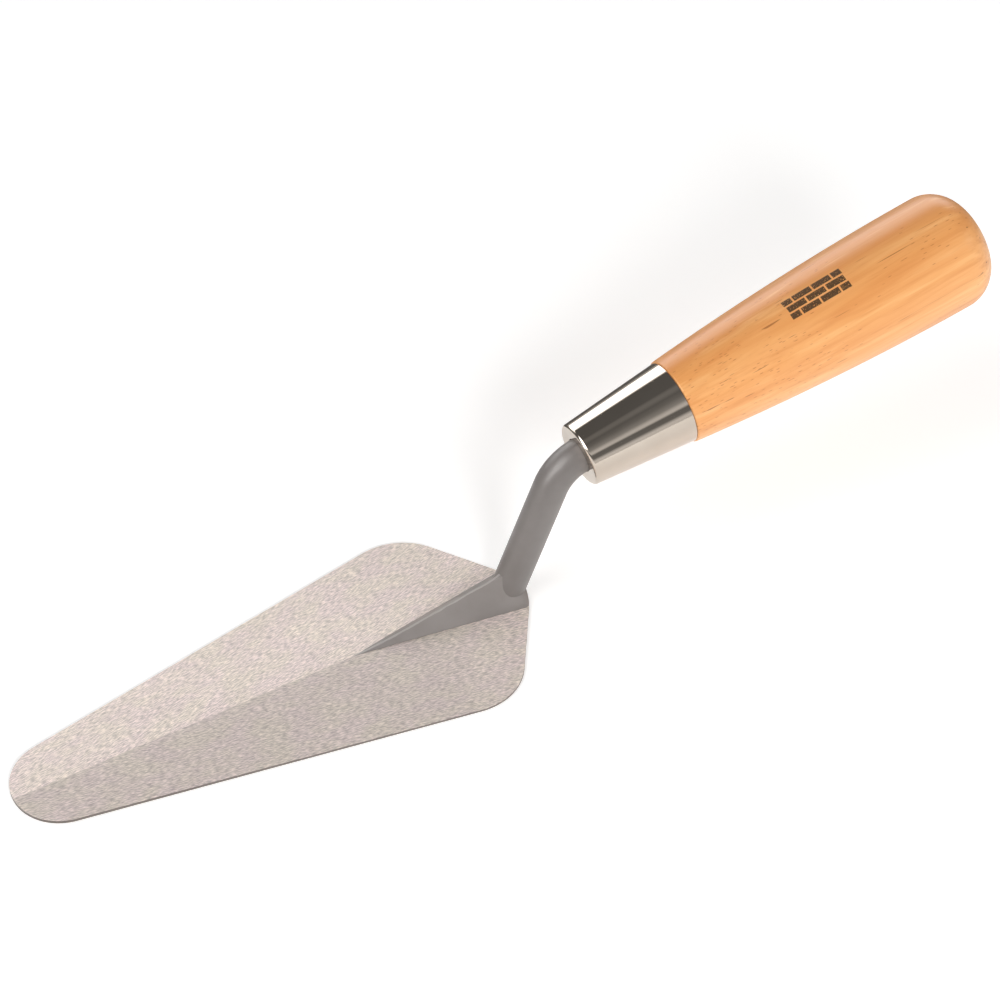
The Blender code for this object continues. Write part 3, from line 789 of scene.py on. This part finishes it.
def make_flag():
    """Dark card on the ground behind the tool, seen only in its reflections."""
    material, nodes, shader, position = new_material("black_card")
    cloud = nodes.noise(position, 5, 2.0, 0.5)
    nodes.set(shader.inputs["Base Color"], nodes.mix(cloud, (0.10, 0.095, 0.09), (0.12, 0.115, 0.11)))
    shader.inputs["Roughness"].default_value = 0.9
    mesh = bpy.data.meshes.new("flag")
    corners = [
        (-CARD_HALF, CARD_NEAR, 0), (CARD_HALF, CARD_NEAR, 0),
        (CARD_HALF, CARD_FAR, 0), (-CARD_HALF, CARD_FAR, 0),
    ]
    mesh.from_pydata(corners, [], [(0, 1, 2, 3)])
    mesh.materials.append(material)
    flag = bpy.data.objects.new("flag", mesh)
    bpy.context.scene.collection.objects.link(flag)
    flag.visible_camera = False
    flag.visible_diffuse = False
    flag.visible_shadow = False
    flag.visible_transmission = False


def make_world():
    """Studio surroundings: strips of light and dark that run along X, and a softbox behind the tool."""
    world = bpy.data.worlds.new("studio")
    bpy.context.scene.world = world
    world.use_nodes = True
    nodes = Nodes(world.node_tree)
    background = world.node_tree.nodes["Background"]
    direction = nodes.add("ShaderNodeTexCoord").outputs["Generated"]
    split = nodes.add("ShaderNodeSeparateXYZ", {"Vector": direction})
    near = nodes.math("MULTIPLY", split.outputs["Y"], -1.0)
    degrees = nodes.math("DEGREES", nodes.math("ARCTAN2", split.outputs["Z"], near))
    strips = nodes.ramp(
        nodes.math("DIVIDE", degrees, 180.0), [(angle / 180, grey) for angle, grey in WORLD_BANDS])
    softbox = nodes.math("MULTIPLY",
                         nodes.between(degrees, 135.0, 142.0), nodes.between(degrees, 178.0, 172.0))
    window = nodes.math("MULTIPLY",
                        nodes.between(split.outputs["X"], -0.70, -0.40),
                        nodes.between(split.outputs["X"], 0.85, 0.65))
    softbox = nodes.math("MULTIPLY", nodes.math("MULTIPLY", softbox, window), SOFTBOX_LIGHT)
    rays = nodes.add("ShaderNodeLightPath")
    glossy = rays.outputs["Is Glossy Ray"]
    softbox = nodes.math("MULTIPLY", softbox, nodes.between(glossy, 0, 1, 0.4, 1))
    side_box = nodes.math("MULTIPLY",
                          nodes.between(degrees, 45.0, 60.0), nodes.between(degrees, 118.0, 100.0))
    side_box = nodes.math("MULTIPLY", side_box, nodes.between(split.outputs["X"], -0.38, -0.55))
    side_box = nodes.math("MULTIPLY", side_box, glossy)
    softbox = nodes.math("ADD", softbox, nodes.math("MULTIPLY", side_box, SIDE_BOX_LIGHT))
    lit = nodes.add("ShaderNodeCombineColor", {
        "Red": softbox, "Green": softbox, "Blue": softbox}).outputs[0]
    nodes.set(background.inputs["Color"], nodes.mix(1.0, strips, lit, "ADD"))
    seen = rays.outputs["Is Camera Ray"]
    plain = nodes.add("ShaderNodeBackground", {"Color": (0.96, 0.958, 0.955, 1), "Strength": 1.0})
    mixed = nodes.add("ShaderNodeMixShader", {0: seen, 1: background.outputs[0], 2: plain.outputs[0]})
    output = world.node_tree.nodes["World Output"]
    nodes.set(output.inputs["Surface"], mixed.outputs[0])


def area_light(name, location, size, power):
    """Soft lamp aimed at the tool. Reflections don't show it."""
    data = bpy.data.lights.new(name, "AREA")
    data.shape = "RECTANGLE"
    data.size, data.size_y = size
    data.energy = power
    lamp = bpy.data.objects.new(name, data)
    bpy.context.scene.collection.objects.link(lamp)
    lamp.location = location
    lamp.rotation_euler = (LIGHT_TARGET - Vector(location)).to_track_quat("-Z", "Y").to_euler()
    lamp.visible_glossy = False


def make_camera():
    data = bpy.data.cameras.new("camera")
    data.sensor_width = 36.0
    data.lens = CAMERA_LENS
    data.clip_start = 0.05
    data.clip_end = 50.0
    camera = bpy.data.objects.new("camera", data)
    bpy.context.scene.collection.objects.link(camera)
    back = Vector((
        math.sin(CAMERA_AZIMUTH) * math.cos(CAMERA_ELEVATION),
        -math.cos(CAMERA_AZIMUTH) * math.cos(CAMERA_ELEVATION),
        math.sin(CAMERA_ELEVATION)))
    camera.location = heel + CAMERA_TARGET + back * CAMERA_DISTANCE
    camera.rotation_euler = (-back).to_track_quat("-Z", "Y").to_euler()
    bpy.context.scene.camera = camera


make_camera()
make_floor()
make_world()
area_light("overhead_fill", (-1.0, 0.0, 1.5), (1.4, 1.2), 12.5)
area_light("front_fill", (-0.3, -1.5, 1.0), (0.5, 0.4), 12)
area_light("right_fill", (1.4, -0.9, 1.0), (0.9, 0.9), 7)
make_flag()
bpy.context.scene.view_settings.view_transform = "Standard"

make_blade(ground_steel())
make_foot(grey_paint("grey_paint", 0.97, True))
# Painted shade: the neck uses a darker copy of the foot's grey paint.
make_neck(grey_paint("neck_paint_with_painted_shade", 0.74, False))
make_ferrule(polished_steel())
make_handle(lacquered_wood())
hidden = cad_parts["tang_adhesive"]
hidden.data.materials.clear()
hidden.data.materials.append(epoxy())
